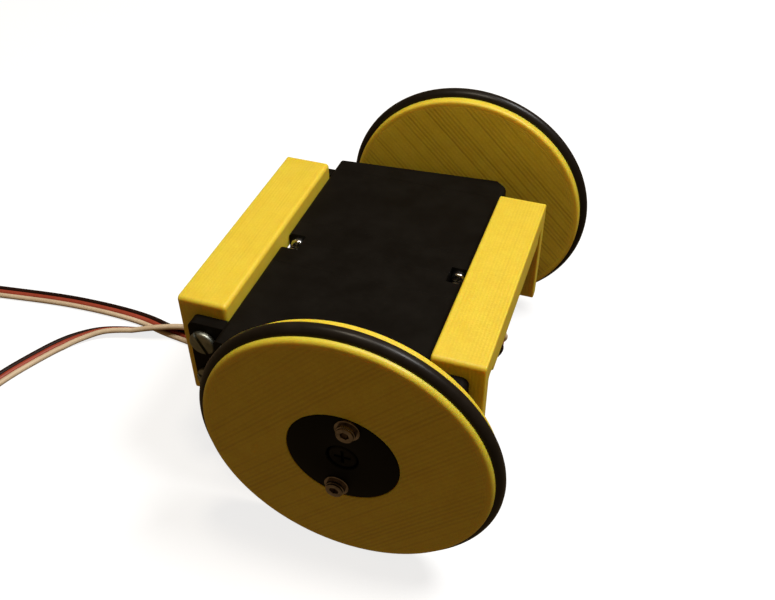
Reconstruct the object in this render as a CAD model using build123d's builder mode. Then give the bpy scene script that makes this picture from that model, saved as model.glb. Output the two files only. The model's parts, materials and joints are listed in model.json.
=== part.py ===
from build123d import *
from math import cos, pi, radians, sin, tan
import os

# A small balancing robot: two hobby servos back to back, two printed brackets and two wheels.
#
# The robot stands on its wheels with +Z up. +X is its front, where the wheel shafts are, and +Y is
# its left. The origin is on the ground, under the middle of the robot. Lengths are in millimetres.
#
# Each servo drives one wheel. Both are alike, so every piece of a drive is made once, standing on its
# bottom with the shaft pointing up, and is then laid over to the left and to the right.

os.makedirs("parts", exist_ok=True)

# Wheels
TYRE_RADIUS = 29.1
TYRE_SECTION = 2.8
TYRE_HEIGHT = 41.2  # from the robot's middle plane to the middle of the tyre
RIM_RADIUS = 27.62
RIM_EDGE = 0.9
RIM_INNER = 37.94  # from the robot's middle plane to the wheel's inner face
RIM_OUTER = 43.70
HORN_RADIUS = 10.71
HORN_THICKNESS = 2.0

# Servo, standing on its bottom
LENGTH, WIDTH = 40.4, 19.8
COVER_TOP = 7.2
EAR_BOTTOM, EAR_TOP = 26.7, 29.2
EAR_SPAN, EAR_WIDTH = 55.5, 19.0
EAR_HOLE_X, EAR_HOLE_Y = 24.75, 5.0
SHAFT_X = 9.47
LOW_ROOF, HIGH_ROOF = 32.9, 35.9  # the gearbox cover falls towards the motor
BOSS_TOP = 37.0
WALL = 1.3
POST = 3.0  # corner posts for the case screws, inside the walls
CASE_SCREW_X, CASE_SCREW_Y = 17.9, 7.7
FLOOR, FLOOR_TOP = 23.8, 25.0  # between the motor and the gears
LEAD_HEIGHT = 5.5
GROMMET_END = 20.9

# Gears: four steps between the motor, a fixed pin and the output shaft
MODULE = 0.4
STEP = 9.6  # distance between neighbouring gear shafts
MOTOR_X, PIN_X = SHAFT_X - 2 * STEP, SHAFT_X - STEP
LAYERS = [(25.2, 26.7), (26.9, 28.4), (28.6, 30.1), (30.3, 32.1)]
STEPS = [(10, 38), (12, 36), (12, 36), (14, 34)]  # teeth of the driving and the driven wheel

# Brackets
BRACKET_INNER, BRACKET_OUTER = 20.3, 30.7
BRACKET_TOP, BRACKET_THICKNESS = 12.84, 5.0
RIB_SPAN, RIB_DEPTH = 41.0, 1.8  # the plate is thicker between the nuts
BRACKET_FOOT = -12.6
LEG = 3.0

# Leads
LEAD = 2.6  # a round tube stands for the flat three-wire lead, 3.9 wide and 1.3 thick
PLUG_LENGTH, PLUG_WIDTH, PLUG_HEIGHT = 14.0, 7.7, 2.5

# The servos' middle, seen from the robot's origin
BODY_X = (BRACKET_OUTER - SHAFT_X - TYRE_RADIUS) / 2
BODY_Z = TYRE_RADIUS
LAID_DOWN = {"left": -90, "right": 90}
CORNERS = [(x, y) for x in (-1, 1) for y in (-1, 1)]
RISING = (Align.CENTER, Align.CENTER, Align.MIN)
HANGING = (Align.CENTER, Align.CENTER, Align.MAX)


def save(piece, name):
    """Writes one piece, which is already in the robot's frame."""
    piece.label = name
    export_step(piece, f"parts/{name}.step")


def in_body(piece):
    return Pos(BODY_X, 0, BODY_Z) * piece


def gear_outline(teeth, tooth_at):
    """The corners of a gear with straight flanks and one tooth centred on the angle tooth_at."""
    pitch = MODULE * teeth / 2
    pitch_angle = 360 / teeth
    flank = [
        (pitch - 1.15 * MODULE, -0.30),
        (pitch + 0.75 * MODULE, -0.11),
        (pitch + 0.75 * MODULE, 0.11),
        (pitch - 1.15 * MODULE, 0.30),
    ]
    corners = []
    for tooth in range(teeth):
        for radius, share in flank:
            angle = radians(tooth_at + (tooth + share) * pitch_angle)
            corners.append((radius * cos(angle), radius * sin(angle)))
    return corners


def driving(step, towards):
    """The small wheel of a step, with a tooth pointing towards its mate."""
    return gear_outline(STEPS[step][0], towards)


def driven(step, towards):
    """The large wheel of a step, with a gap pointing towards its mate."""
    return gear_outline(STEPS[step][1], towards + 180 / STEPS[step][1])


# ---------------------------------------------------------------- servo case

with BuildSketch() as case_outline:
    RectangleRounded(LENGTH, WIDTH, 1.0)

with BuildSketch() as case_hollow:
    Rectangle(LENGTH - 2 * WALL, WIDTH - 2 * WALL - 2 * POST)
    Rectangle(LENGTH - 2 * WALL - 2 * POST, WIDTH - 2 * WALL)

screw_spots = [(x * CASE_SCREW_X, y * CASE_SCREW_Y) for x, y in CORNERS]
ear_spots = [(x * EAR_HOLE_X, y * EAR_HOLE_Y) for x, y in CORNERS]
HEAD_SEAT = 2.4  # height of the seat under a case screw's head
HEAD_BOTTOM = 1.1
NOTCH_LENGTH, NOTCH_WIDTH = 4.0, 3.8  # each corner is cut away for its case screw
CASE_SCREW = 0.8
SLACK = 0.05  # between a shank and its hole
BOTTOM_WALL = 1.4

with BuildPart() as bottom_cover:
    add(case_outline.sketch)
    extrude(amount=COVER_TOP)
    with BuildSketch(Plane.XY.offset(BOTTOM_WALL)):
        add(case_hollow.sketch)
    extrude(amount=COVER_TOP, mode=Mode.SUBTRACT)
    with Locations(*[(x * LENGTH / 2, y * WIDTH / 2, 0) for x, y in CORNERS]):
        Box(2 * NOTCH_LENGTH, 2 * NOTCH_WIDTH, 2 * HEAD_SEAT, mode=Mode.SUBTRACT)
    with Locations(*[(x, y, HEAD_SEAT) for x, y in screw_spots]):
        Cylinder(CASE_SCREW + SLACK, 12, mode=Mode.SUBTRACT)
    with Locations((LENGTH / 2, 0, LEAD_HEIGHT)):
        Box(4, 4.6, 2 * (COVER_TOP - LEAD_HEIGHT), mode=Mode.SUBTRACT)

with BuildPart() as case:
    with BuildSketch(Plane.XY.offset(COVER_TOP)):
        add(case_outline.sketch)
    extrude(amount=EAR_TOP - COVER_TOP)
    with BuildSketch(Plane.XY.offset(EAR_BOTTOM)):
        RectangleRounded(EAR_SPAN, EAR_WIDTH, 1.5)
    extrude(amount=EAR_TOP - EAR_BOTTOM)
    with BuildSketch(Plane.XY.offset(COVER_TOP)):
        add(case_hollow.sketch)
    extrude(amount=FLOOR - COVER_TOP, mode=Mode.SUBTRACT)
    with BuildSketch(Plane.XY.offset(FLOOR_TOP)):
        add(case_hollow.sketch)
    extrude(amount=EAR_TOP - FLOOR_TOP, mode=Mode.SUBTRACT)
    with Locations((MOTOR_X, 0, FLOOR)):
        Cylinder(2.55, 6, mode=Mode.SUBTRACT)
    with Locations((SHAFT_X, 0, FLOOR)):
        Cylinder(1.56, 6, mode=Mode.SUBTRACT)
    with Locations((PIN_X, 0, FLOOR_TOP)):
        Cylinder(0.82, 1.4, mode=Mode.SUBTRACT)
    with Locations(*[(x, y, EAR_TOP) for x, y in ear_spots]):
        Cylinder(2.2, 9, mode=Mode.SUBTRACT)
    with Locations(*[(x, y, 18) for x, y in screw_spots]):
        Cylinder(CASE_SCREW + SLACK, 24, mode=Mode.SUBTRACT)

END_X = 17.5  # where the sloping roof meets the front end
ROOF_WALL = 1.2


def roof_outline(inset, base):
    """The gearbox cover from the side, drawn inside its skin by inset, as (x, height) corners."""
    end = LENGTH / 2 - inset
    return [
        (-end, base),
        (end, base),
        (end, HIGH_ROOF - 2.2 - inset),
        (END_X - inset / 2, HIGH_ROOF - inset),
        (-end, LOW_ROOF - inset),
    ]


with BuildPart() as top_cover:
    with BuildSketch(Plane.XZ.offset(-WIDTH / 2)):
        with BuildLine():
            Polyline(*roof_outline(0, EAR_TOP), close=True)
        make_face()
    extrude(amount=WIDTH)
    fillet(top_cover.edges().filter_by(Axis.Z), 1.0)
    with BuildSketch(Plane.XZ.offset(-(WIDTH / 2 - WALL - POST))):
        with BuildLine():
            Polyline(*roof_outline(ROOF_WALL, EAR_TOP), close=True)
        make_face()
    extrude(amount=WIDTH - 2 * WALL - 2 * POST, mode=Mode.SUBTRACT)
    with BuildSketch(Plane.XY.offset(EAR_TOP)):
        Rectangle(LENGTH - 2 * WALL - 2 * POST, WIDTH - 2 * WALL)
    extrude(amount=LOW_ROOF - ROOF_WALL - EAR_TOP, mode=Mode.SUBTRACT)
    with Locations((MOTOR_X / 2 + SHAFT_X, 0, 32)):
        Box(19, WIDTH - 2 * WALL, 1.0, mode=Mode.SUBTRACT)
    with Locations((SHAFT_X, 0, BOSS_TOP)):
        Cylinder(5.6, BOSS_TOP - 32.9, align=HANGING)
    with Locations((SHAFT_X, 0, 32)):
        Cylinder(4.02, 12, mode=Mode.SUBTRACT)
    with Locations((PIN_X, 0, 31.5)):
        Cylinder(0.82, 3.2, mode=Mode.SUBTRACT)
    with Locations(*[(x, y, EAR_TOP) for x, y in screw_spots]):
        Cylinder(CASE_SCREW + SLACK, 5.2, mode=Mode.SUBTRACT)

with BuildPart() as case_screws:
    with Locations(*[(x, y, HEAD_BOTTOM) for x, y in screw_spots]):
        Cylinder(1.5, HEAD_SEAT - HEAD_BOTTOM, align=RISING)
        Cylinder(CASE_SCREW, 30.4, align=RISING)
    fillet(case_screws.edges().group_by(Axis.Z)[0], 0.5)
    with Locations(*[(x, y, HEAD_BOTTOM) for x, y in screw_spots]):
        Box(0.5, 2.0, 1.0, mode=Mode.SUBTRACT)
        Box(2.0, 0.5, 1.0, mode=Mode.SUBTRACT)

with BuildPart() as grommet:
    with Locations((GROMMET_END, 0, LEAD_HEIGHT)):
        Box(2.4, 4.4, 3.2, align=(Align.MAX, Align.CENTER, Align.CENTER))
    fillet(grommet.edges().filter_by(Axis.X), 0.5)

# ------------------------------------------------------------ inside a servo

with BuildPart() as board:
    with Locations((0, 0, 3.0)):
        Box(30, 10.6, 1.2, align=RISING)
    with Locations((-4, 0, 4.2)):
        Box(7.0, 7.0, 1.6, align=RISING)
    with Locations((7, -2.4, 4.2), (7, 2.4, 4.2)):
        Box(4.0, 3.0, 1.2, align=RISING)

with BuildPart() as motor:
    with Locations((MOTOR_X, 0, 8.6)):
        Cylinder(7.6, 14.9, align=RISING)
    with Locations((MOTOR_X, 0, 16)):
        Box(20, 12.6, 20, mode=Mode.INTERSECT)
    with Locations((MOTOR_X, 0, 23.5)):
        Cylinder(2.5, 1.2, align=RISING)
    with Locations((MOTOR_X, 0, 16)):
        Cylinder(1.05, 20, mode=Mode.SUBTRACT)

with BuildPart() as motor_pinion:
    with BuildSketch(Plane.XY.offset(9.5)):
        with Locations((MOTOR_X, 0)):
            Circle(1.0)
    extrude(amount=LAYERS[0][1] - 9.5)
    with BuildSketch(Plane.XY.offset(LAYERS[0][0])):
        with Locations((MOTOR_X, 0)):
            Polygon(*driving(0, 0), align=None)
    extrude(amount=LAYERS[0][1] - LAYERS[0][0])

with BuildPart() as potentiometer:
    with Locations((SHAFT_X, 0, 17)):
        Box(8.0, 9.0, 4.5, align=RISING)
        Cylinder(1.0, 6.0, align=RISING)

with BuildPart() as gear_pin:
    with Locations((PIN_X, 0, 24.4)):
        Cylinder(0.8, 8.6, align=RISING)


def step_up_gear(shaft_x, step, driven_towards, driving_towards, bore):
    """A loose gear: the large wheel of one step joined to the small wheel of the next."""
    low, high = LAYERS[step]
    with BuildPart() as gear:
        with BuildSketch(Plane.XY.offset(low)):
            with Locations((shaft_x, 0)):
                Polygon(*driven(step, driven_towards), align=None)
        extrude(amount=high - low)
        with BuildSketch(Plane.XY.offset(high)):
            with Locations((shaft_x, 0)):
                Polygon(*driving(step + 1, driving_towards), align=None)
        extrude(amount=LAYERS[step + 1][1] - high)
        with Locations((shaft_x, 0, low)):
            Cylinder(bore, 20, mode=Mode.SUBTRACT)
    return gear


gear_1 = step_up_gear(PIN_X, 0, 180, 0, 0.85)
gear_2 = step_up_gear(SHAFT_X, 1, 180, 180, 1.56)
gear_3 = step_up_gear(PIN_X, 2, 0, 0, 0.85)

SHAFT_END = 41.1
SHAFT_RADIUS = 2.9

with BuildPart() as output_gear:
    with BuildSketch(Plane.XY.offset(LAYERS[3][0])):
        with Locations((SHAFT_X, 0)):
            Polygon(*driven(3, 180), align=None)
    extrude(amount=LAYERS[3][1] - LAYERS[3][0])
    with Locations((SHAFT_X, 0, 23.9)):
        Cylinder(1.5, 7, align=RISING)
    with Locations((SHAFT_X, 0, LAYERS[3][0])):
        Cylinder(SHAFT_RADIUS, SHAFT_END - LAYERS[3][0], align=RISING)
    with Locations((SHAFT_X, 0, SHAFT_END)):
        Cylinder(1.25, 12, mode=Mode.SUBTRACT)

with BuildPart() as output_bush:
    with Locations((SHAFT_X, 0, BOSS_TOP)):
        Cylinder(4.0, 4.0, align=HANGING)
        Cylinder(SHAFT_RADIUS + SLACK, 12, mode=Mode.SUBTRACT)

# --------------------------------------------------------------------- wheel

HUB_SCREW_CIRCLE = 8.26
HUB_SCREW_TURN = 9.4  # the pair of screws leans this far from straight up
hub_spots = []
for turn in (90 - HUB_SCREW_TURN, 270 - HUB_SCREW_TURN):
    across = HUB_SCREW_CIRCLE * cos(radians(turn))
    along = HUB_SCREW_CIRCLE * sin(radians(turn))
    hub_spots.append((SHAFT_X + across, along))
TYRE_LINE = TYRE_RADIUS - TYRE_SECTION / 2
HORN_BACK = RIM_OUTER - HORN_THICKNESS
HUB_RADIUS = 4.5
HORN_SEAT = HORN_BACK + 0.4  # where the horn screw's head sits
HORN_SCREW_HEAD = 1.4

with BuildPart() as rim:
    with Locations((SHAFT_X, 0, RIM_INNER)):
        Cylinder(RIM_RADIUS, RIM_OUTER - RIM_INNER, align=RISING)
    fillet(rim.edges().filter_by(GeomType.CIRCLE), RIM_EDGE)
    with Locations((SHAFT_X, 0, TYRE_HEIGHT)):
        Torus(TYRE_LINE, TYRE_SECTION / 2 + 0.03, mode=Mode.SUBTRACT)
    with Locations((SHAFT_X, 0, RIM_OUTER)):
        Cylinder(HORN_RADIUS + 0.09, 2 * HORN_THICKNESS, mode=Mode.SUBTRACT)
        Cylinder(HUB_RADIUS + 0.3, 30, mode=Mode.SUBTRACT)
    with Locations(*[(x, y, HORN_BACK) for x, y in hub_spots]):
        Cylinder(1.05, 6.4, mode=Mode.SUBTRACT)

with BuildPart() as tyre:
    with Locations((SHAFT_X, 0, TYRE_HEIGHT)):
        Torus(TYRE_LINE, TYRE_SECTION / 2)

with BuildPart() as horn:
    with Locations((SHAFT_X, 0, HORN_BACK)):
        Cylinder(HORN_RADIUS, HORN_THICKNESS, align=RISING)
        Cylinder(HUB_RADIUS, 4.1, align=HANGING)
        Cylinder(SHAFT_RADIUS + 0.04, 9, align=HANGING, mode=Mode.SUBTRACT)
        Cylinder(1.5, 9, mode=Mode.SUBTRACT)
    with Locations((SHAFT_X, 0, HORN_SEAT)):
        Cylinder(3.1, 5, align=RISING, mode=Mode.SUBTRACT)
    with Locations(*[(x, y, HORN_BACK) for x, y in hub_spots]):
        Cylinder(1.05, 9, mode=Mode.SUBTRACT)

with BuildPart() as horn_screw:
    with Locations((SHAFT_X, 0, HORN_SEAT)):
        Cylinder(2.8, HORN_SCREW_HEAD, align=RISING)
        Cylinder(1.2, 6.0, align=HANGING)
    fillet(horn_screw.edges().group_by(Axis.Z)[-1], 0.5)
    with Locations((SHAFT_X, 0, HORN_SEAT + HORN_SCREW_HEAD)):
        Box(0.6, 3.2, 1.6, mode=Mode.SUBTRACT)
        Box(3.2, 0.6, 1.6, mode=Mode.SUBTRACT)

WASHER = 0.4
WHEEL_SCREW_HEAD = 1.3
WHEEL_SCREW_TOP = RIM_OUTER + WASHER + WHEEL_SCREW_HEAD

with BuildPart() as wheel_washers:
    with Locations(*[(x, y, RIM_OUTER) for x, y in hub_spots]):
        Cylinder(2.4, WASHER, align=RISING)
        Cylinder(1.1, 4, mode=Mode.SUBTRACT)

with BuildPart() as wheel_screws:
    with Locations(*[(x, y, RIM_OUTER + WASHER) for x, y in hub_spots]):
        Cylinder(1.85, WHEEL_SCREW_HEAD, align=RISING)
        Cylinder(1.0, 5.4, align=HANGING)
    fillet(wheel_screws.edges().group_by(Axis.Z)[-1], 0.4)
    with BuildSketch(Plane.XY.offset(WHEEL_SCREW_TOP)):
        with Locations(*hub_spots):
            RegularPolygon(0.9, 6)
    extrude(amount=-0.8, mode=Mode.SUBTRACT)

drive = {
    "servo_bottom_cover": bottom_cover,
    "servo_case": case,
    "servo_top_cover": top_cover,
    "case_screws": case_screws,
    "lead_grommet": grommet,
    "circuit_board": board,
    "motor": motor,
    "motor_pinion": motor_pinion,
    "potentiometer": potentiometer,
    "gear_pin": gear_pin,
    "gear_1": gear_1,
    "gear_2": gear_2,
    "gear_3": gear_3,
    "output_gear": output_gear,
    "output_bush": output_bush,
    "wheel_rim": rim,
    "tyre": tyre,
    "servo_horn": horn,
    "horn_screw": horn_screw,
    "wheel_washers": wheel_washers,
    "wheel_screws": wheel_screws,
}
for side, lean in LAID_DOWN.items():
    for name, piece in drive.items():
        save(in_body(Rot(lean, 0, 0) * piece.part), f"{side}_{name}")

# ------------------------------------------------------------------ brackets

BOLT = 1.45
NUT_HEIGHT = 2.2
BOLT_HEAD = 1.1
BRACKET_WIDTH = BRACKET_OUTER - BRACKET_INNER
BRACKET_X = (BRACKET_INNER + BRACKET_OUTER) / 2

with BuildPart() as bracket:
    with Locations((BRACKET_X, 0, BRACKET_TOP)):
        Box(BRACKET_WIDTH, 2 * EAR_BOTTOM, BRACKET_TOP - BRACKET_FOOT, align=HANGING)
    with Locations((BRACKET_X, 0, BRACKET_TOP - BRACKET_THICKNESS)):
        Box(20, 2 * (EAR_BOTTOM - LEG), 40, align=HANGING, mode=Mode.SUBTRACT)
        Box(BRACKET_WIDTH, RIB_SPAN, RIB_DEPTH, align=HANGING)
    fillet(bracket.edges().filter_by(Axis.Y).group_by(Axis.Z)[-1], 0.4)
    with Locations(*[(EAR_HOLE_X, 0, z * EAR_HOLE_Y) for z in (-1, 1)]):
        Cylinder(BOLT + 0.15, 80, rotation=(90, 0, 0), mode=Mode.SUBTRACT)

for name, turn in (("front_bracket", 0), ("rear_bracket", 180)):
    save(in_body(Rot(0, 0, turn) * bracket.part), name)

with BuildPart() as upright_bolts:
    with Locations(*[(x, y, EAR_TOP) for x, y in ear_spots]):
        Cylinder(2.7, BOLT_HEAD, align=RISING)
        Cylinder(BOLT, 8.0, align=HANGING)
    fillet(upright_bolts.edges().group_by(Axis.Z)[-1], 0.5)
    with Locations(*[(x, y, EAR_TOP + BOLT_HEAD) for x, y in ear_spots]):
        Box(0.8, 7, BOLT_HEAD, rotation=(0, 0, 12), mode=Mode.SUBTRACT)

with BuildPart() as upright_nuts:
    with BuildSketch(Plane.XY.offset(EAR_BOTTOM - LEG)):
        with Locations(*ear_spots):
            RegularPolygon(5.5 / 2, 6, major_radius=False)
            Circle(BOLT + SLACK, mode=Mode.SUBTRACT)
    extrude(amount=-NUT_HEIGHT)

for name, piece in (("ear_bolts", upright_bolts), ("ear_nuts", upright_nuts)):
    both = [in_body(Rot(lean, 0, 0) * piece.part) for lean in LAID_DOWN.values()]
    save(Compound(children=[solid for half in both for solid in half.solids()]), name)

# --------------------------------------------------------------------- leads

GROUND = LEAD / 2 - TYRE_RADIUS  # height of a lead's middle where it lies on the ground
HUMP = GROUND + 3.9  # where the left lead crosses over the right one

# Routes from the servo to the plug, seen from the servos' middle.
right_route = [
    (GROMMET_END, -5.5, 0.0),
    (25.4, -5.5, 0.0),
    (28.9, -5.7, -0.2),
    (29.4, -6.8, -3.2),
    (26.6, -8.6, -6.4),
    (23.4, -10.4, -11.0),
    (17.0, -10.4, -16.8),
    (8.5, -8.2, -22.0),
    (-2.5, -5.2, -26.2),
    (-14.8, -2.8, GROUND),
    (-28.8, -1.6, GROUND),
    (-41.8, -0.8, GROUND),
    (-50.5, 0.5, GROUND),
    (-56.5, 1.2, GROUND),
    (-62.1, 2.6, GROUND),
    (-68.5, 3.2, GROUND),
    (-77.0, 3.3, GROUND),
    (-88.5, 2.7, GROUND),
    (-105.6, 0.2, GROUND),
    (-120.0, -1.9, GROUND),
    (-134.5, -7.0, GROUND),
    (-144.5, -18.0, GROUND),
    (-146.0, -33.0, GROUND),
    (-138.0, -46.0, GROUND),
    (-124.5, -48.5, GROUND),
    (-116.5, -38.5, GROUND),
    (-117.0, -27.0, GROUND),
]
left_route = [
    (GROMMET_END, 5.5, 0.0),
    (24.6, 5.5, 0.0),
    (26.2, 8.9, -0.7),
    (23.9, 12.0, -4.4),
    (22.0, 12.2, -10.5),
    (17.4, 10.4, -16.4),
    (9.5, 8.0, -21.6),
    (-1.5, 5.6, -25.9),
    (-13.8, 3.9, GROUND),
    (-28.8, 3.2, GROUND),
    (-41.8, 3.4, GROUND),
    (-48.0, 3.4, GROUND),
    (-53.5, 1.4, HUMP),
    (-59.7, -1.1, HUMP),
    (-65.9, -2.5, GROUND),
    (-70.8, -3.9, GROUND),
    (-74.7, -7.0, GROUND),
    (-78.8, -11.4, GROUND),
    (-82.5, -18.6, GROUND),
    (-85.8, -26.1, GROUND),
    (-88.6, -36.5, GROUND),
    (-91.0, -51.5, GROUND),
    (-96.5, -65.5, GROUND),
    (-107.0, -74.0, GROUND),
    (-118.5, -70.0, GROUND),
    (-118.0, -58.5, GROUND),
    (-109.5, -50.0, GROUND),
    (-106.0, -37.0, GROUND),
    (-105.5, -24.5, GROUND),
]


def corner_radii(route):
    """One radius for each corner: 0.45 of the shorter run, over the tangent of half the turn."""
    points = [Vector(*p) for p in route]
    radii = []
    for before, corner, after in zip(points, points[1:], points[2:]):
        runs = corner - before, after - corner
        half_turn = radians(runs[0].get_angle(runs[1]) / 2)
        radii.append(0.45 * min(run.length for run in runs) / tan(half_turn))
    return radii


def plug_at(end, before):
    """A three-pin plug whose back face meets the lead's end."""
    heading = Vector(*end) - Vector(*before)
    with BuildPart(Plane(origin=end, x_dir=heading, z_dir=(0, 0, 1))) as plug:
        Box(PLUG_LENGTH, PLUG_WIDTH, PLUG_HEIGHT, align=(Align.MIN, Align.CENTER, Align.CENTER))
        chamfer(plug.edges().filter_by(Axis.Z), 0.4)
        with Locations(*[(PLUG_LENGTH, pin * 2.54, 0) for pin in (-1, 0, 1)]):
            Box(12, 0.9, 0.9, mode=Mode.SUBTRACT)
        with Locations(*[(5.0, pin * 2.54, PLUG_HEIGHT / 2) for pin in (-1, 0, 1)]):
            Box(3.0, 1.2, 1.2, mode=Mode.SUBTRACT)
    return plug


for side, route in (("left", left_route), ("right", right_route)):
    radii = corner_radii(route)
    with BuildPart() as lead:
        with BuildLine() as path:
            FilletPolyline(*route, radius=radii)
        with BuildSketch(path.line ^ 0):
            Circle(LEAD / 2)
        sweep(path=path.line)
    length = path.wire().length
    ideal = pi * (LEAD / 2) ** 2 * length
    print(side, "lead", round(length, 1), "mm, volume over section x length",
          round(lead.part.volume / ideal, 4), "radii", [round(r, 1) for r in radii])
    save(in_body(lead.part), f"{side}_lead")
    save(in_body(plug_at(route[-1], route[-2]).part), f"{side}_lead_plug")
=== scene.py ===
import json
from itertools import product
from math import cos, floor, pi, radians, sin, tau

import bmesh
import bpy
from mathutils import Matrix, Vector


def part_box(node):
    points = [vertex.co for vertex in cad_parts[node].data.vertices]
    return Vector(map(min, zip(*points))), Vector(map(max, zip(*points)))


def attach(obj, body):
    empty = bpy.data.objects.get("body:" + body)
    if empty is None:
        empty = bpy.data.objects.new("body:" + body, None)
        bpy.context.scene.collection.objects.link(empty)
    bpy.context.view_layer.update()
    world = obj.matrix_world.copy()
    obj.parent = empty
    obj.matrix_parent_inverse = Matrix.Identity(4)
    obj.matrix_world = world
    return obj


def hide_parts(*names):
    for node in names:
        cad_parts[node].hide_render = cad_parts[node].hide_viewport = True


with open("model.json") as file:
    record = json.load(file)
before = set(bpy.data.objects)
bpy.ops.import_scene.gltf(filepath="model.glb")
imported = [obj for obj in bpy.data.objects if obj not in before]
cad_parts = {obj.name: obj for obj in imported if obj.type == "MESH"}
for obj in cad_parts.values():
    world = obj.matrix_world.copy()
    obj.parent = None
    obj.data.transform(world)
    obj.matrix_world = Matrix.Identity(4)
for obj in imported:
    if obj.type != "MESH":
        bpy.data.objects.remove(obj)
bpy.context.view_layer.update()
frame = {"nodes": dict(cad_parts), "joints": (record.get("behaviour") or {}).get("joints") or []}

MM = 0.001
SIDES = {"left": 1, "right": -1}  # the way along Y from the middle plane to each wheel
JOINED = 0.002 * MM  # corners closer than this are one corner
SPUN_JOINED = 0.0005 * MM
scene = bpy.context.scene


def middle(node):
    low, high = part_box(node)
    return (low + high) / 2


SERVOS = Vector((middle("left_servo_case").x, 0, middle("left_servo_case").z))
AXLE = Vector(frame["joints"][0]["pos_m"])
AXLE.y = 0

# ------------------------------------------------------------------- camera

camera = bpy.data.objects.new("camera", bpy.data.cameras.new("camera"))
scene.collection.objects.link(camera)
camera.data.sensor_width = 36
camera.data.lens = 41.47
camera.data.clip_start = 0.01
scene.camera = camera
forward = Vector((-0.24802, 0.70978, -0.65931)).normalized()
right = Vector((0.94576, 0.32482, -0.00609)).normalized()
above = right.cross(forward)
camera.matrix_world = Matrix((right, above, -forward)).transposed().to_4x4()
camera.location = SERVOS + Vector((50.51, -135.95, 125.45)) * MM

# ---------------------------------------------------------------- materials


def feed(tree, socket, value):
    """Links another node's output to a socket, or sets the socket to a plain value."""
    if isinstance(value, bpy.types.NodeSocket):
        tree.links.new(value, socket)
    else:
        socket.default_value = value


def node(tree, kind, inputs=None, **settings):
    """Adds a shader node. An input is a value or another node's output."""
    made = tree.nodes.new("ShaderNode" + kind)
    for key, value in settings.items():
        setattr(made, key, value)
    for key, value in (inputs or {}).items():
        feed(tree, made.inputs[key], value)
    return made


def surface(name, **constants):
    """A new material and its shader, with the sockets that are the same all over already set."""
    material = bpy.data.materials.new(name)
    material.use_nodes = True
    shader = material.node_tree.nodes["Principled BSDF"]
    for key, value in constants.items():
        shader.inputs[key.replace("_", " ")].default_value = value
    return material, material.node_tree, shader


def object_space(tree, turn=(0, 0, 0), scale=(1, 1, 1)):
    place = node(tree, "TexCoord").outputs["Object"]
    turned = node(tree, "Mapping", {"Vector": place, "Rotation": turn})
    return node(tree, "Mapping", {"Vector": turned.outputs[0], "Scale": scale}).outputs[0]


def noise(tree, place, scale, detail=3.0, roughness=0.6):
    inputs = {"Vector": place, "Scale": scale, "Detail": detail, "Roughness": roughness}
    return node(tree, "TexNoise", inputs).outputs["Fac"]


def spread(tree, value, low, high, to_low=0.0, to_high=1.0):
    """Stretches the part of a value between low and high over another range."""
    inputs = {"Value": value, "From Min": low, "From Max": high}
    inputs |= {"To Min": to_low, "To Max": to_high}
    return node(tree, "MapRange", inputs).outputs["Result"]


def blend(tree, factor, first, second):
    """Mixes two colours. The mix node's colours are its inputs 6 and 7 and its output 2."""
    inputs = {0: factor, 6: first, 7: second}
    return node(tree, "Mix", inputs, data_type="RGBA", blend_type="MIX").outputs[2]


def times(tree, first, second):
    return node(tree, "Math", {0: first, 1: second}, operation="MULTIPLY").outputs[0]


def inverse(tree, value):
    return node(tree, "Math", {0: 1.0, 1: value}, operation="SUBTRACT").outputs[0]


def reach_from_axle(tree, place):
    """How far a place is from the wheels' axis."""
    offset = node(tree, "VectorMath", {0: place, 1: AXLE}, operation="SUBTRACT").outputs[0]
    flat = node(tree, "VectorMath", {0: offset, 1: (1, 0, 1)}, operation="MULTIPLY").outputs[0]
    return node(tree, "VectorMath", {0: flat}, operation="LENGTH").outputs["Value"]


def bump(tree, shader, layers):
    """Stacks bumps of (height from 0 to 1, depth in metres) on a shader."""
    below = None
    for height, depth in layers:
        made = node(tree, "Bump", {"Height": height, "Distance": depth, "Strength": 1.0})
        if below:
            tree.links.new(below, made.inputs["Normal"])
        below = made.outputs[0]
    tree.links.new(below, shader.inputs["Normal"])


WAVE_LENGTH = 0.314  # between two bands of a wave texture of scale 1
STRAND_STRETCH = 30.0
LINES_FADE = 1.8 * MM, 0.6 * MM  # the lines fade out between these distances from a rim's edge
SPECKLE_DEPTH, CLOUD_DEPTH, LINE_DEPTH = 0.012 * MM, 0.03 * MM, 0.06 * MM


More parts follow.
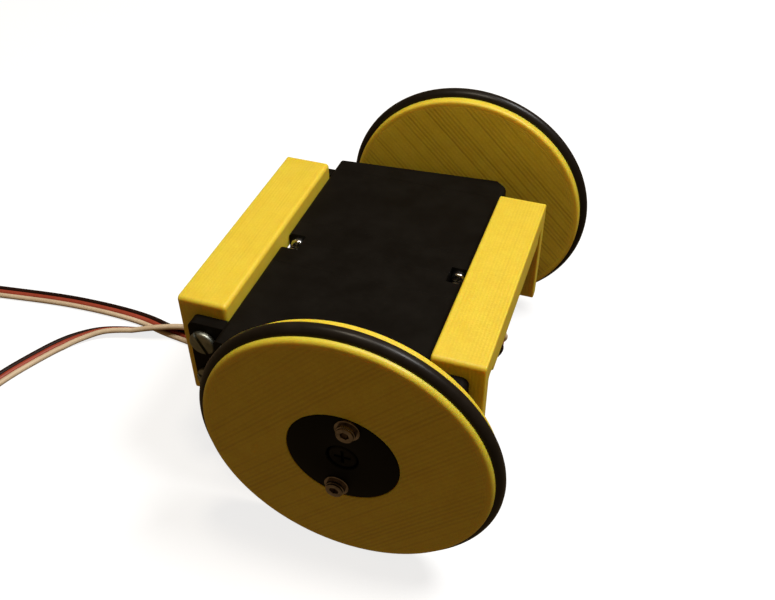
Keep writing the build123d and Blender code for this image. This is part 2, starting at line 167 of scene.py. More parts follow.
def printed_plastic(name, raster_turn, line_pitch, line_strength, edge=None):
    """Yellow printed plastic, a little translucent. Its lines stop short of a round edge."""
    material, tree, shader = surface(
        name,
        Roughness=0.46,
        IOR=1.46,
        Subsurface_Weight=0.55,
        Subsurface_Radius=(1.0, 0.5, 0.08),
        Subsurface_Scale=2.6 * MM,
    )
    place = object_space(tree)
    cloud = spread(tree, noise(tree, place, 260.0), 0.35, 0.65)
    speckle = spread(tree, noise(tree, place, 2600.0, 4.0), 0.3, 0.7)
    across = object_space(tree, raster_turn)
    lines = node(
        tree,
        "TexWave",
        {"Vector": across, "Scale": WAVE_LENGTH / line_pitch, "Distortion": 0.6, "Detail": 1.0},
        bands_direction="X",
    ).outputs["Fac"]
    stretch = (1 / line_pitch, STRAND_STRETCH, STRAND_STRETCH)
    strands = object_space(tree, raster_turn, stretch)
    uneven = spread(tree, noise(tree, strands, 0.55, 2.0), 0.42, 0.66, 0.2, 1.0)
    gaps = times(tree, uneven, inverse(tree, lines))
    if edge:
        reach = reach_from_axle(tree, place)
        inside = spread(tree, reach, edge - LINES_FADE[0], edge - LINES_FADE[1], 1.0, 0.0)
        gaps = times(tree, gaps, inside)
    colour = blend(tree, cloud, (0.70, 0.52, 0.040, 1), (0.74, 0.57, 0.050, 1))
    colour = blend(tree, times(tree, speckle, 0.42), colour, (0.56, 0.37, 0.020, 1))
    colour = blend(tree, times(tree, gaps, line_strength), colour, (0.32, 0.18, 0.008, 1))
    feed(tree, shader.inputs["Base Color"], colour)
    ridges = inverse(tree, gaps)
    layers = [(speckle, SPECKLE_DEPTH), (cloud, CLOUD_DEPTH), (ridges, LINE_DEPTH * line_strength)]
    bump(tree, shader, layers)
    return material


def moulded(
    name, dark, light, grain=0.012 * MM, roughness=(0.42, 0.56), scale=1500.0, **constants
):
    """Moulded plastic or rubber: a fine grain, and handling marks that dull it unevenly."""
    material, tree, shader = surface(name, **constants)
    place = object_space(tree)
    fine = noise(tree, place, scale, 2.0)
    worn = noise(tree, place, 130.0, 5.0, 0.7)
    colour = blend(tree, spread(tree, worn, 0.38, 0.66), dark, light)
    feed(tree, shader.inputs["Base Color"], colour)
    feed(tree, shader.inputs["Roughness"], spread(tree, worn, 0.3, 0.7, *roughness))
    bump(tree, shader, [(fine, grain)])
    return material


SCRATCH = 0.006 * MM


def metal(name, dark, light, roughness, stretch=(1, 1, 1)):
    """Machined or plated metal, with fine scratches drawn out along one way."""
    material, tree, shader = surface(name, Metallic=1.0)
    drawn = noise(tree, object_space(tree, scale=stretch), 2400.0, 4.0, 0.7)
    stain = noise(tree, object_space(tree), 420.0, 4.0, 0.65)
    colour = blend(tree, spread(tree, stain, 0.35, 0.65), dark, light)
    feed(tree, shader.inputs["Base Color"], colour)
    feed(tree, shader.inputs["Roughness"], spread(tree, drawn, 0.3, 0.7, *roughness))
    bump(tree, shader, [(drawn, SCRATCH)])
    return material


LAYER = 0.69 * MM  # one printed layer of a bracket
RASTER = 0.9 * MM  # between two lines on a wheel's face
RASTER_EDGE = 27.6 * MM
BRACKET_YELLOW = printed_plastic("bracket_yellow", (0, 0, 0), LAYER, 0.12)
WHEEL_YELLOW = {
    side: printed_plastic(f"{side}_wheel_yellow", (0, radians(turn), 0), RASTER, seen, RASTER_EDGE)
    for side, turn, seen in (("left", 45, 0.65), ("right", -45, 0.28))
}
SERVO_BLACK = moulded(
    "servo_black",
    (0.0040, 0.0032, 0.0024, 1),
    (0.0060, 0.0050, 0.0038, 1),
    Specular_IOR_Level=0.06,
)
HORN_BLACK = moulded(
    "horn_black",
    (0.0020, 0.0018, 0.0016, 1),
    (0.0045, 0.0040, 0.0034, 1),
    roughness=(0.5, 0.62),
    Specular_IOR_Level=0.1,
)
PLUG_BLACK = moulded(
    "plug_black",
    (0.008, 0.008, 0.008, 1),
    (0.014, 0.013, 0.013, 1),
    roughness=(0.3, 0.45),
)
GROMMET_BLACK = moulded(
    "grommet_black",
    (0.006, 0.006, 0.006, 1),
    (0.011, 0.01, 0.01, 1),
    roughness=(0.6, 0.8),
)
TYRE_BLACK = moulded(
    "tyre_black",
    (0.007, 0.005, 0.0035, 1),
    (0.012, 0.009, 0.0065, 1),
    grain=0.02 * MM,
    roughness=(0.3, 0.42),
    scale=900.0,
    Specular_IOR_Level=0.22,
)
BOLT_ZINC = metal("bolt_zinc", (0.18, 0.19, 0.16, 1), (0.32, 0.33, 0.29, 1), (0.38, 0.6))
SCREW_STEEL = metal("screw_steel", (0.16, 0.13, 0.11, 1), (0.36, 0.30, 0.27, 1), (0.12, 0.26))
CASE_SCREW_STEEL = metal(
    "case_screw_steel", (0.55, 0.54, 0.52, 1), (0.75, 0.74, 0.72, 1), (0.15, 0.3)
)
WASHER_STEEL = metal("washer_steel", (0.14, 0.11, 0.09, 1), (0.34, 0.28, 0.25, 1), (0.14, 0.30))
SCREW_BLACK = metal("screw_black", (0.008, 0.007, 0.006, 1), (0.016, 0.014, 0.012, 1), (0.5, 0.65))
MOTOR_STEEL = metal(
    "motor_steel", (0.45, 0.45, 0.44, 1), (0.6, 0.6, 0.58, 1), (0.25, 0.4), stretch=(1, 0.03, 1)
)
BRASS = metal("bush_brass", (0.55, 0.36, 0.12, 1), (0.75, 0.52, 0.2, 1), (0.2, 0.35))
GEAR_NYLON = moulded(
    "gear_nylon", (0.62, 0.60, 0.54, 1), (0.74, 0.72, 0.66, 1), roughness=(0.35, 0.5)
)
BOARD_GREEN = moulded(
    "board_green", (0.01, 0.09, 0.035, 1), (0.015, 0.14, 0.055, 1), roughness=(0.25, 0.4)
)
POT_BLUE = moulded(
    "pot_blue", (0.02, 0.07, 0.28, 1), (0.03, 0.1, 0.36, 1), roughness=(0.3, 0.45)
)
WIRE_BLACK = moulded(
    "wire_black",
    (0.012, 0.0035, 0.002, 1),
    (0.020, 0.006, 0.003, 1),
    roughness=(0.45, 0.6),
    Specular_IOR_Level=0.15,
)
WIRE_RED = moulded(
    "wire_red",
    (0.30, 0.045, 0.022, 1),
    (0.36, 0.060, 0.032, 1),
    roughness=(0.4, 0.55),
    Specular_IOR_Level=0.3,
)
WIRE_WHITE = moulded(
    "wire_white",
    (0.58, 0.44, 0.29, 1),
    (0.68, 0.54, 0.37, 1),
    roughness=(0.4, 0.55),
    Specular_IOR_Level=0.3,
)

# ------------------------------------------------------------ making pieces

LARGE_FACE = 6 * MM**2  # faces larger than this are flat


def finished(shape, name, body, materials, sharp=38):
    """Turns a bmesh into a piece that rides on a body. Edges sharper than this stay crisp."""
    for face in shape.faces:
        face.smooth = face.calc_area() < LARGE_FACE
    for edge in shape.edges:
        edge.smooth = len(edge.link_faces) == 2 and edge.calc_face_angle(0) < radians(sharp)
    mesh = bpy.data.meshes.new(name)
    shape.to_mesh(mesh)
    shape.free()
    for material in materials:
        mesh.materials.append(material)
    piece = bpy.data.objects.new(name, mesh)
    scene.collection.objects.link(piece)
    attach(piece, body)
    return piece


def merged_copy(name):
    """A CAD node's mesh with its loose triangles merged and its flat faces whole again."""
    shape = bmesh.new()
    shape.from_mesh(frame["nodes"][name].data)
    bmesh.ops.remove_doubles(shape, verts=shape.verts, dist=JOINED)
    bmesh.ops.dissolve_limit(shape, angle_limit=radians(0.6), verts=shape.verts, edges=shape.edges)
    return shape


def rounded_edges(shape, edges, width, segments):
    bmesh.ops.bevel(
        shape,
        geom=edges,
        offset=width,
        offset_type="OFFSET",
        segments=segments,
        profile=0.5,
        affect="EDGES",
        clamp_overlap=True,
        material=-1,
    )


def softened(name, body, material, width, segments=2, adjust=None):
    """The CAD node's own shape with its sharp edges rounded, standing for that node."""
    shape = merged_copy(name)
    if adjust:
        adjust(shape)
    closed = [edge for edge in shape.edges if len(edge.link_faces) == 2]
    sharp = [edge for edge in closed if edge.calc_face_angle(0) > radians(40)]
    rounded_edges(shape, sharp, width, segments)
    piece = finished(shape, f"{name}_finish", body, [material])
    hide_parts(name)
    return piece


def spin_outline(shape, places, centre, axis, steps):
    """Spins the closed outline through these places a full turn about an axis."""
    corners = [shape.verts.new(place) for place in places]
    outline = [shape.edges.new(pair) for pair in zip(corners, corners[1:] + corners[:1])]
    bmesh.ops.spin(
        shape,
        geom=corners + outline,
        cent=centre,
        axis=axis,
        dvec=(0, 0, 0),
        angle=tau,
        steps=steps,
        use_merge=True,
        use_duplicate=False,
    )


def raised_face(shape, face, **settings):
    """Extrudes a face and gives the new one, which still lies on the old."""
    made = bmesh.ops.extrude_face_region(shape, geom=[face], **settings)["geom"]
    return next(g for g in made if isinstance(g, bmesh.types.BMFace))


def spun(profile, side, steps):
    """Spins a closed outline, given as (radius, distance from the middle plane), about the axle."""
    shape = bmesh.new()
    places = [(AXLE.x + radius, side * away, AXLE.z) for radius, away in profile]
    spin_outline(shape, places, AXLE, (0, 1, 0), steps)
    bmesh.ops.remove_doubles(shape, verts=shape.verts, dist=SPUN_JOINED)
    bmesh.ops.recalc_face_normals(shape, faces=shape.faces)
    return shape


def circle_edges(shape, radius, away):
    """The edges on the circle at this radius from the axle and distance from the middle plane."""

    def on_it(corner):
        reach = Vector((corner.co.x - AXLE.x, corner.co.z - AXLE.z)).length
        return abs(reach - radius) < JOINED and abs(abs(corner.co.y) - away) < JOINED

    return [e for e in shape.edges if all(on_it(v) for v in e.verts)]


# -------------------------------------------------------------------- leads

WIRE = 1.35 * MM
PITCH = 1.3 * MM  # the three wires are joined side by side
GROUND = WIRE / 2  # height of a flat ribbon's middle
PLUG_MIDDLE = 1.3 * MM
HUMP = 3.0 * MM  # where the left lead crosses over the right one
PARTING = 9.0 * MM  # the wires part over this length before the plug
PARTED = 0.95 * MM  # and are this much further apart at the plug


def on_ground(*points, height=GROUND):
    """Route points seen from the servos' middle, in millimetres, at one height above the ground."""
    return [Vector((x * MM + SERVOS.x, y * MM, height)) for x, y in points]


def hanging(*points):
    """Route points between the servo and the ground, seen from the servos' middle."""
    return [SERVOS + Vector(point) * MM for point in points]


ROUTES = {
    "right": [
        *hanging((20.9, -5.5, 0.0), (25.4, -5.5, 0.4), (29.6, -5.6, 1.0), (28.6, -6.6, -2.5)),
        *hanging((24.3, -9.0, -5.6), (22.6, -10.4, -11.0), (17.0, -10.4, -16.8)),
        *hanging((8.5, -8.2, -22.0), (-2.5, -5.2, -26.2)),
        *on_ground((-14.8, -2.8), (-28.8, -1.6), (-41.8, -0.8), (-50.5, 0.5), (-56.5, 1.2)),
        *on_ground((-62.1, 2.6), (-68.5, 3.2), (-77.0, 3.3), (-88.5, 2.7), (-105.6, 0.2)),
        *on_ground((-120.0, -1.9), (-134.5, -7.0), (-144.5, -18.0), (-146.0, -33.0)),
        *on_ground((-138.0, -46.0), (-124.5, -48.5)),
        *on_ground((-116.5, -38.5), (-117.0, -27.0), height=PLUG_MIDDLE),
    ],
    "left": [
        *hanging((20.9, 5.5, 0.0), (24.6, 5.5, 0.0), (26.2, 8.9, -0.7), (23.9, 12.0, -4.4)),
        *hanging((22.0, 12.2, -10.5), (17.4, 10.4, -16.4), (9.5, 8.0, -21.6), (-1.5, 5.6, -25.9)),
        *on_ground((-13.8, 3.9), (-28.8, 3.2), (-41.8, 3.4)),
        *on_ground((-46.0, 3.5), height=1.0 * MM),
        *on_ground((-51.3, 1.5), (-57.5, -0.8), height=HUMP),
        *on_ground((-64.5, -2.3), height=1.2 * MM),
        *on_ground((-70.8, -4.3), (-74.7, -7.0), (-78.8, -11.4), (-82.5, -18.6), (-85.8, -26.1)),
        *on_ground((-88.6, -36.5), (-91.0, -51.5), (-96.5, -65.5), (-107.0, -74.0)),
        *on_ground((-118.5, -70.0), (-118.0, -58.5), (-109.5, -50.0)),
        *on_ground((-106.0, -37.0), (-105.5, -24.5), height=PLUG_MIDDLE),
    ],
}
# The way from the white wire to the black one, by route point. Elsewhere the ribbon lies flat.
BLACK_SIDE = {
    "right": {
        0: (0, 0, -1),
        1: (0, 0, -1),
        2: (0.1, -0.75, -0.6),
        3: (0.1, -0.95, 0.1),
        4: (0.8, -0.5, 0.2),
        5: (0.9, 0.4, -0.2),
        6: (0.3, 0.95, 0),
    },
    "left": {
        0: (0, 0, 1),
        1: (0, 0, 1),
        2: (0, 0, 1),
        3: (0, 0.6, 0.8),
        4: (0, 1, 0.2),
        10: (0, 0.8, -0.5),
        11: (0, 0.5, -0.8),
        12: (-0.2, 0.6, -0.78),
        13: (-0.26, 0.66, -0.7),
        14: (-0.28, 0.7, -0.62),
        15: (-0.4, 0.75, -0.5),
        16: (-0.6, 0.75, -0.25),
    },
}


def smooth_line(route, name):
    """Points along the smooth curve that a lead follows, close together."""
    curve = bpy.data.curves.new(name, "CURVE")
    curve.dimensions = "3D"
    curve.resolution_u = 14
    spline = curve.splines.new("NURBS")
    spline.points.add(len(route) - 1)
    for point, place in zip(spline.points, route):
        point.co = (*place, 1)
    spline.order_u = 3
    spline.use_endpoint_u = True
    holder = bpy.data.objects.new(name, curve)
    mesh = bpy.data.meshes.new_from_object(holder)
    line = [vertex.co.copy() for vertex in mesh.vertices]
    bpy.data.objects.remove(holder)
    bpy.data.curves.remove(curve)
    bpy.data.meshes.remove(mesh)
    return line


def ribbon_way(side, share, heading):
    """The way across the ribbon, from white to black, at a share of the lead's route."""
    count = len(ROUTES[side])
    at = min(max(share * (count - 2) + 0.5, 0), count - 1)
    flat = heading.cross(Vector((0, 0, 1)))
    ways = [Vector(BLACK_SIDE[side].get(i, flat.normalized())) for i in (floor(at), floor(at) + 1)]
    way = ways[0].normalized().lerp(ways[1].normalized(), at - floor(at))
    return (way - way.dot(heading) * heading).normalized()


def lead_ribbon(side):
    """Three insulated wires side by side, which part again just before the plug."""
    line = smooth_line(ROUTES[side], f"{side}_lead_line")
    last = len(line) - 1
    rows = [[], [], []]
    for i, place in enumerate(line):
        heading = (line[min(i + 1, last)] - line[max(i - 1, 0)]).normalized()
        way = ribbon_way(side, i / last, heading)
        from_plug = (line[last] - place).length
        parting = max(0.0, 1 - from_plug / PARTING) ** 2
        gap = PITCH + parting * PARTED
        wires = [place + way * gap * k for k in (-1, 0, 1)]
        lift = max(0.0, GROUND - min(wire.z for wire in wires))
        for row, wire in zip(rows, wires):
            row.append(wire + Vector((0, 0, lift)))
    curve = bpy.data.curves.new(f"{side}_wires", "CURVE")
    curve.dimensions = "3D"
    curve.bevel_depth = WIRE / 2
    curve.bevel_resolution = 4
    curve.use_fill_caps = True
    for _ in rows:
        curve.materials.append(WIRE_WHITE)
    for colour, row in enumerate(rows):
        spline = curve.splines.new("POLY")
        spline.points.add(last)
        spline.material_index = colour
        for point, place in zip(spline.points, row):
            point.co = (*place, 1)
    holder = bpy.data.objects.new(f"{side}_wires", curve)
    mesh = bpy.data.meshes.new_from_object(holder)
    bpy.data.objects.remove(holder)
    shape = bmesh.new()
    shape.from_mesh(mesh)
    bmesh.ops.remove_doubles(shape, verts=shape.verts, dist=SPUN_JOINED)
    colours = [WIRE_WHITE, WIRE_RED, WIRE_BLACK]
    piece = finished(shape, f"{side}_lead_ribbon", "chassis", colours, 60)
    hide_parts(f"{side}_lead")
    return piece, line


for side in SIDES:
    ribbon, line = lead_ribbon(side)
    plug = softened(f"{side}_lead_plug", "chassis", PLUG_BLACK, 0.18 * MM)

# ------------------------------------------------------------------- wheels

RIM_INNER, RIM_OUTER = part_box("left_wheel_rim")[0].y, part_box("left_wheel_rim")[1].y
RIM_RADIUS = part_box("left_wheel_rim")[1].z - AXLE.z
TYRE_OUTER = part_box("left_tyre")[1].z - AXLE.z
TYRE_SECTION = (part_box("left_tyre")[1].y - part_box("left_tyre")[0].y) / 2
TYRE_LINE = TYRE_OUTER - TYRE_SECTION
TYRE_MIDDLE = middle("left_tyre").y
HORN_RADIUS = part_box("left_servo_horn")[1].z - AXLE.z
HORN_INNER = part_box("left_servo_horn")[0].y
HORN_THICKNESS = 2.0 * MM
HORN_BACK = RIM_OUTER - HORN_THICKNESS
HORN_SCREW_SEAT = HORN_BACK + 0.4 * MM
HORN_SCREW_HOLE, HORN_SCREW_WELL = 1.5 * MM, 3.1 * MM
SHAFT_SOCKET = 2.94 * MM
HUB_RADIUS = 4.5 * MM
RECESS = HORN_RADIUS + 0.09 * MM  # in the rim, for the horn's disc
BORE = HUB_RADIUS + 0.3 * MM  # through the rim, for the horn's hub
LINE_WIDTH = 0.45 * MM  # one printed line
WALL_LINES = 3
SEAM_DEPTH, SEAM_REACH = 0.03 * MM, 0.07 * MM
RIM_EDGE, RIM_INNER_EDGE = 0.9 * MM, 0.6 * MM
HOLE_EDGE, HORN_EDGE = 0.15 * MM, 0.22 * MM
TYRE_GAP = 0.03 * MM
MOULD_SEAM = 0.035 * MM


def tyre_groove(steps=12):
    """The round groove that the tyre sits in, from its inner lip to its outer lip."""
    seat = TYRE_SECTION + TYRE_GAP
    reach = (seat**2 - (TYRE_LINE - RIM_RADIUS) ** 2) ** 0.5
    points = []
    for i in range(steps + 1):
        across = -reach * cos(pi * i / steps)
        points.append((TYRE_LINE - (seat**2 - across**2) ** 0.5, TYRE_MIDDLE + across))
    return points


def wall_lines(away, depth):
    """Shallow seams between the printed lines that run round a face, as outline points."""
    points = []
    for k in range(1, WALL_LINES + 1):
        seam = RIM_RADIUS - RIM_EDGE - k * LINE_WIDTH
        points += [(seam + SEAM_REACH, away), (seam, away - depth), (seam - SEAM_REACH, away)]
    return points


def wheel_rim(side):
    """A printed disc with a groove for its tyre and a recess and bore for its horn."""
    profile = [
        (BORE, RIM_INNER),
        *reversed(wall_lines(RIM_INNER, -SEAM_DEPTH)),
        (RIM_RADIUS, RIM_INNER),
        *tyre_groove(),
        (RIM_RADIUS, RIM_OUTER),
        *wall_lines(RIM_OUTER, SEAM_DEPTH),
        (RECESS, RIM_OUTER),
        (RECESS, HORN_BACK),
        (BORE, HORN_BACK),
    ]
    shape = spun(profile, SIDES[side], 160)
    for radius, away, width, segments in (
        (RIM_RADIUS, RIM_OUTER, RIM_EDGE, 7),
        (RIM_RADIUS, RIM_INNER, RIM_INNER_EDGE, 7),
        (RECESS, RIM_OUTER, HOLE_EDGE, 3),
        (BORE, RIM_INNER, HOLE_EDGE, 3),
    ):
        rounded_edges(shape, circle_edges(shape, radius, away), width, segments)
    yellow = [WHEEL_YELLOW[side]]
    piece = finished(shape, f"{side}_rim_print", f"{side}_wheel", yellow, 50)
    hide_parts(f"{side}_wheel_rim")


def tyre_ring(side, steps=36):
    """A round rubber ring with the fine seam that its mould leaves round the outside."""
    profile = []
    for i in range(steps):
        angle = tau * i / steps
        radius = TYRE_SECTION - (MOULD_SEAM if i == 0 else 0)
        profile.append((TYRE_LINE + radius * cos(angle), TYRE_MIDDLE + radius * sin(angle)))
    shape = spun(profile, SIDES[side], 200)
    piece = finished(shape, f"{side}_tyre_ring", f"{side}_wheel", [TYRE_BLACK], 60)
    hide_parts(f"{side}_tyre")


def horn_disc(side):
    """A round horn with a well for its screw in front and a socket for the shaft behind."""
    profile = [
        (HORN_SCREW_HOLE, HORN_SCREW_SEAT),
        (HORN_SCREW_WELL, HORN_SCREW_SEAT),
        (HORN_SCREW_WELL, RIM_OUTER),
        (HORN_RADIUS, RIM_OUTER),
        (HORN_RADIUS, HORN_BACK),
        (HUB_RADIUS, HORN_BACK),
        (HUB_RADIUS, HORN_INNER),
        (SHAFT_SOCKET, HORN_INNER),
        (SHAFT_SOCKET, HORN_BACK),
        (HORN_SCREW_HOLE, HORN_BACK),
    ]
    shape = spun(profile, SIDES[side], 120)
    for radius, away in (
        (HORN_RADIUS, RIM_OUTER),
        (HORN_SCREW_WELL, RIM_OUTER),
        (HUB_RADIUS, HORN_INNER),
    ):
        rounded_edges(shape, circle_edges(shape, radius, away), HORN_EDGE, 4)
    piece = finished(shape, f"{side}_horn_disc", f"{side}_wheel", [HORN_BLACK])
    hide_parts(f"{side}_servo_horn")


HUB_SCREW_CIRCLE = 8.26 * MM
HUB_SCREW_TURN = radians(9.4)  # the pair of screws leans this far from straight up
KEY_TURNS = (0.24, 0.71)  # how far each screw was tightened, as the turn of its hexagon
WASHER_RADIUS, WASHER_HOLE, WASHER_HEIGHT = 2.4 * MM, 1.1 * MM, 0.4 * MM
HEAD_RADIUS, HEAD_HEIGHT, CROWN = 1.85 * MM, 1.3 * MM, 0.55 * MM
KEY_FLAT, KEY_DEPTH = 0.78 * MM, 0.75 * MM  # half the key's width across flats
KEY_MOUTH = 0.12 * MM  # depth of the slope that leads into the socket
KNURL = 0.05 * MM
HUB_JOINED = 0.0002 * MM
# The head's turned crown, as (radius, height) in millimetres.
CROWN_STEPS = (
    (1.80, 0.0),
    (1.66, 0.06),
    (1.68, 0.20),
    (1.66, 0.40),
    (1.56, 0.52),
    (1.40, 0.55),
    (1.20, 0.49),
)


def hub_places(side):
    """Where the two hub screws stand, as matrices that carry +Z to the wheel's outside."""
    way = SIDES[side]
    places = []
    for end in (-1, 1):
        across = end * HUB_SCREW_CIRCLE * sin(HUB_SCREW_TURN)
        up = -way * end * HUB_SCREW_CIRCLE * cos(HUB_SCREW_TURN)
        spot = Vector((AXLE.x + across, way * RIM_OUTER, AXLE.z + up))
        places.append(Matrix.Translation(spot) @ Matrix.Rotation(-way * pi / 2, 4, "X"))
    return places


def step_in(shape, top, radius, rise):
    """Extrudes a round face, centred on the Z axis, by rise and to a new radius."""
    reach = max(corner.co.xy.length for corner in top.verts)
    face = raised_face(shape, top)
    bmesh.ops.delete(shape, geom=[top], context="FACES_ONLY")
    bmesh.ops.translate(shape, verts=face.verts, vec=(0, 0, rise))
    bmesh.ops.scale(shape, verts=face.verts, vec=(radius / reach, radius / reach, 1))
    return face


def hexagon(face, flat):
    """Moves a round face's corners onto a hexagon with this distance from its middle to a flat."""
    for corner in face.verts:
        angle = corner.co.xy.angle_signed(Vector((1, 0)))
        corner.co.xy = corner.co.xy.normalized() * flat / cos(angle % (pi / 3) - pi / 6)


def socket_head(shape):
    """A knurled cylinder head with a hexagon socket, standing on its washer round the Z axis."""
    start = Matrix.Translation((0, 0, WASHER_HEIGHT))
    made = bmesh.ops.create_circle(
        shape, cap_ends=True, segments=72, radius=HEAD_RADIUS, matrix=start
    )
    foot = made["verts"][0].link_faces[0]
    top = raised_face(shape, foot, use_keep_orig=True)
    bmesh.ops.translate(shape, verts=top.verts, vec=(0, 0, HEAD_HEIGHT - CROWN))
    for ring in (foot.verts, top.verts):
        for valley in list(ring)[::2]:
            valley.co.xy *= 1 - KNURL / HEAD_RADIUS
    for radius, height in CROWN_STEPS:
        rise = WASHER_HEIGHT + HEAD_HEIGHT - CROWN + height * MM - top.verts[0].co.z
        top = step_in(shape, top, radius * MM, rise)
        if height == 0:
            for corner in top.verts:
                corner.co.xy = corner.co.xy.normalized() * radius * MM
    top = step_in(shape, top, KEY_FLAT * 1.25, 0)
    hexagon(top, KEY_FLAT * 1.1)
    top = step_in(shape, top, KEY_FLAT * 1.15, -KEY_MOUTH)
    hexagon(top, KEY_FLAT)
    step_in(shape, top, max(corner.co.xy.length for corner in top.verts), -KEY_DEPTH)


def washer(shape):
    """A flat ring round the Z axis with a turned edge."""
    profile = [
        (WASHER_HOLE, 0),
        (WASHER_RADIUS, 0),
        (WASHER_RADIUS, WASHER_HEIGHT - 0.12 * MM),
        (WASHER_RADIUS - 0.04 * MM, WASHER_HEIGHT - 0.04 * MM),
        (WASHER_RADIUS - 0.12 * MM, WASHER_HEIGHT),
        (WASHER_HOLE + 0.05 * MM, WASHER_HEIGHT),
    ]
    places = [(radius, 0, height) for radius, height in profile]
    spin_outline(shape, places, (0, 0, 0), (0, 0, 1), 60)


def copied_to(shape, places):
    """Leaves a copy of the shape at each place instead of the one at the origin."""
    pattern = [*shape.verts, *shape.edges, *shape.faces]
    first = list(shape.verts)
    for place in places:
        copy = bmesh.ops.duplicate(shape, geom=pattern)["geom"]
        corners = [g for g in copy if isinstance(g, bmesh.types.BMVert)]
        bmesh.ops.transform(shape, matrix=place, verts=corners)
    bmesh.ops.delete(shape, geom=first, context="VERTS")


def hub_fasteners(side):
    """The two socket-head screws of a hub as one piece, and their washers as another."""
    turned = [
        place @ Matrix.Rotation(turn, 4, "Z") for place, turn in zip(hub_places(side), KEY_TURNS)
    ]
    for make, kind, slot, material in (
        (socket_head, "wheel_screws", "screw_steel", SCREW_STEEL),
        (washer, "wheel_washers", "washer_steel", WASHER_STEEL),
    ):
        shape = bmesh.new()
        make(shape)
        bmesh.ops.remove_doubles(shape, verts=shape.verts, dist=HUB_JOINED)
        bmesh.ops.recalc_face_normals(shape, faces=shape.faces)
        copied_to(shape, turned)
        piece = finished(shape, f"{side}_{kind}_finish", f"{side}_wheel", [material], 25)
        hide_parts(f"{side}_{kind}")


for side in SIDES:
    wheel_rim(side)
    tyre_ring(side)
    horn_disc(side)
    hub_fasteners(side)
    softened(f"{side}_horn_screw", f"{side}_wheel", SCREW_BLACK, 0.03 * MM)

# ----------------------------------------------------------------- brackets

RIPPLE = 0.022 * MM
PLATE_THICKNESS, LEG = 5.0 * MM, 3.0 * MM
RIB_SPAN, RIB_DEPTH = 41.0 * MM, 1.8 * MM  # the plate is thicker between the nuts
EDGE_RADIUS, HOLLOW_RADIUS = 0.9 * MM, 0.5 * MM


def bracket_outline(shape, low, high):
    """The bracket seen along X: a plate with a leg down from each end, as one flat face."""
    ends, inner = high.y, high.y - LEG
    under = high.z - PLATE_THICKNESS
    points = [
        (-ends, low.z),
        (-inner, low.z),
        (-inner, under),
        (-RIB_SPAN / 2, under),
        (-RIB_SPAN / 2, under - RIB_DEPTH),
        (RIB_SPAN / 2, under - RIB_DEPTH),
        (RIB_SPAN / 2, under),
        (inner, under),
        (inner, low.z),
        (ends, low.z),
        (ends, high.z),
        (-ends, high.z),
    ]
    face = shape.faces.new([shape.verts.new((low.x, y, z)) for y, z in points])
    hollows = [corner for corner in face.verts if abs(corner.co.z - under) < JOINED]
    swells = [corner for corner in face.verts if corner not in hollows]
    for corners, radius in ((swells, EDGE_RADIUS), (hollows, HOLLOW_RADIUS)):
        bmesh.ops.bevel(
            shape,
            geom=corners,
            offset=radius,
            segments=6,
            profile=0.5,
            affect="VERTICES",
            material=-1,
        )
    return next(iter(shape.faces))


def rounded_rise(radius, steps=6):
    """Steps of (inwards, up) that follow a quarter circle."""
    angles = [pi / 2 * i / steps for i in range(steps + 1)]
    return [
        (radius * (cos(a) - cos(b)), radius * (sin(b) - sin(a))) for a, b in zip(angles, angles[1:])
    ]


def ripple(shape, top, height):
    """Raises a face by height, its outline swelling a little at each printed layer."""
    layers = round(height / LAYER)
    for i in range(2 * layers):
        swell = -RIPPLE if i % 2 else RIPPLE
        bmesh.ops.inset_region(
            shape, faces=[top], thickness=swell, depth=height / layers / 2, use_even_offset=True
        )


def printed_bracket(name, rear_edge, front_edge):
    """A bracket built up along X in printed layers, its edges rounded at the rear and the front."""
    low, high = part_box(name)
    shape = bmesh.new()
    foot = bracket_outline(shape, low, high)
    bmesh.ops.translate(shape, verts=foot.verts, vec=(rear_edge, 0, 0))
    top = raised_face(shape, foot, use_keep_orig=True)
    bmesh.ops.translate(shape, verts=top.verts, vec=(0.5 * LAYER, 0, 0))
    bmesh.ops.recalc_face_normals(shape, faces=shape.faces)
    ripple(shape, top, high.x - low.x - rear_edge - front_edge - 0.5 * LAYER)
    for face, radius in ((foot, rear_edge), (top, front_edge)):
        for inwards, up in rounded_rise(radius):
            bmesh.ops.inset_region(
                shape, faces=[face], thickness=inwards, depth=up, use_even_offset=True
            )
    piece = finished(shape, f"{name}_print", "chassis", [BRACKET_YELLOW], 50)
    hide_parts(name)


printed_bracket("front_bracket", rear_edge=0.5 * MM, front_edge=0.35 * MM)
printed_bracket("rear_bracket", rear_edge=0.3 * MM, front_edge=0.85 * MM)

# ------------------------------------------------------------------- servos

SOFT_EDGE = {"servo_bottom_cover": 0.2 * MM, "servo_case": 0.08 * MM, "servo_top_cover": 0.12 * MM}
for side in SIDES:
    for name, width in SOFT_EDGE.items():
        softened(f"{side}_{name}", "chassis", SERVO_BLACK, width, 3)
    softened(f"{side}_lead_grommet", "chassis", GROMMET_BLACK, 0.2 * MM)
    softened(f"{side}_case_screws", "chassis", CASE_SCREW_STEEL, 0.08 * MM)


EAR_HOLE_X, EAR_HOLE_Z = 24.75 * MM, 5.0 * MM
BOLT_REACH = 3.5 * MM  # round a bolt's axis, clear of the next bolt
FIRST_SLOT, NEXT_SLOT = -50, 37  # degrees


def turn_bolts(shape):
    """Turns each ear bolt to its own slot angle."""
    for turn, (side, x, z) in enumerate(product((-1, 1), repeat=3)):
        axis = SERVOS + Vector((x * EAR_HOLE_X, 0, z * EAR_HOLE_Z))
        corners = [
            corner
            for corner in shape.verts
            if corner.co.y * side > 0 and (corner.co.xz - axis.xz).length < BOLT_REACH
        ]
        angle = radians(FIRST_SLOT + NEXT_SLOT * turn)
        bmesh.ops.rotate(shape, cent=axis, matrix=Matrix.Rotation(angle, 3, "Y"), verts=corners)


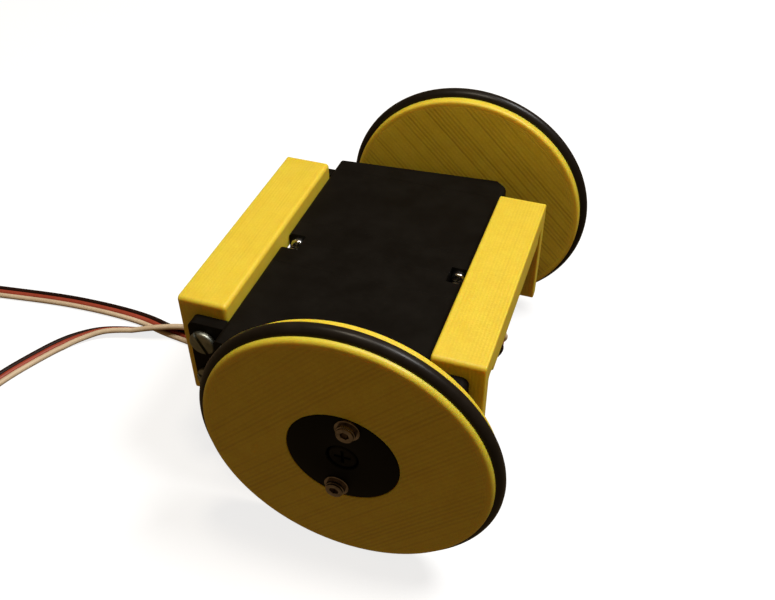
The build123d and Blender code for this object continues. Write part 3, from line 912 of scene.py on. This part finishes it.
softened("ear_bolts", "chassis", BOLT_ZINC, 0.12 * MM, adjust=turn_bolts)
softened("ear_nuts", "chassis", BOLT_ZINC, 0.2 * MM)

INSIDE = {
    "circuit_board": BOARD_GREEN,
    "motor": MOTOR_STEEL,
    "motor_pinion": BRASS,
    "potentiometer": POT_BLUE,
    "gear_pin": SCREW_STEEL,
    "gear_1": GEAR_NYLON,
    "gear_2": GEAR_NYLON,
    "gear_3": GEAR_NYLON,
    "output_gear": GEAR_NYLON,
    "output_bush": BRASS,
}
for side in SIDES:
    for name, material in INSIDE.items():
        mesh = frame["nodes"][f"{side}_{name}"].data
        mesh.materials.clear()
        mesh.materials.append(material)

# --------------------------------------------------------- floor and lights

floor_mesh = bpy.data.meshes.new("floor")
floor_shape = bmesh.new()
bmesh.ops.create_grid(floor_shape, x_segments=1, y_segments=1, size=3)
floor_shape.to_mesh(floor_mesh)
floor_shape.free()
ground = bpy.data.objects.new("floor", floor_mesh)
scene.collection.objects.link(ground)
floor_material, floor_tree, floor_shader = surface(
    "floor_white",
    Roughness=0.9,
    Specular_IOR_Level=0.0,
    Emission_Color=(1, 1, 1, 1),
    Emission_Strength=0.80,
)
cloud = noise(floor_tree, object_space(floor_tree), 3.0)
pale = blend(floor_tree, cloud, (0.30, 0.30, 0.30, 1), (0.33, 0.33, 0.33, 1))
feed(floor_tree, floor_shader.inputs["Base Color"], pale)
floor_mesh.materials.append(floor_material)
ground.visible_diffuse = False
ground.visible_glossy = False


def lamp(name, place, target, size, power, colour=(1, 1, 1)):
    """A round soft light at a place, turned towards its target."""
    light = bpy.data.lights.new(name, "AREA")
    light.shape = "DISK"
    light.size = size
    light.energy = power
    light.color = colour
    holder = bpy.data.objects.new(name, light)
    holder.location = place
    holder.rotation_euler = (Vector(target) - Vector(place)).to_track_quat("-Z", "Y").to_euler()
    scene.collection.objects.link(holder)


lamp("overhead", (0.31, 0.12, 0.70), (0, 0, 0), size=0.24, power=5.1)
lamp(
    "between_wheels",
    (-0.01, -0.025, 0.20),
    (0, 0.01, 0),
    size=0.03,
    power=0.115,
    colour=(1, 0.9, 0.72),
)
world = bpy.data.worlds.new("room")
scene.world = world
world.use_nodes = True
room = world.node_tree
straight = node(room, "LightPath").outputs["Is Camera Ray"]
glow = blend(room, straight, (0.150, 0.098, 0.045, 1), (1, 1, 1, 1))
feed(room, room.nodes["Background"].inputs["Color"], glow)
scene.view_settings.view_transform = "Standard"
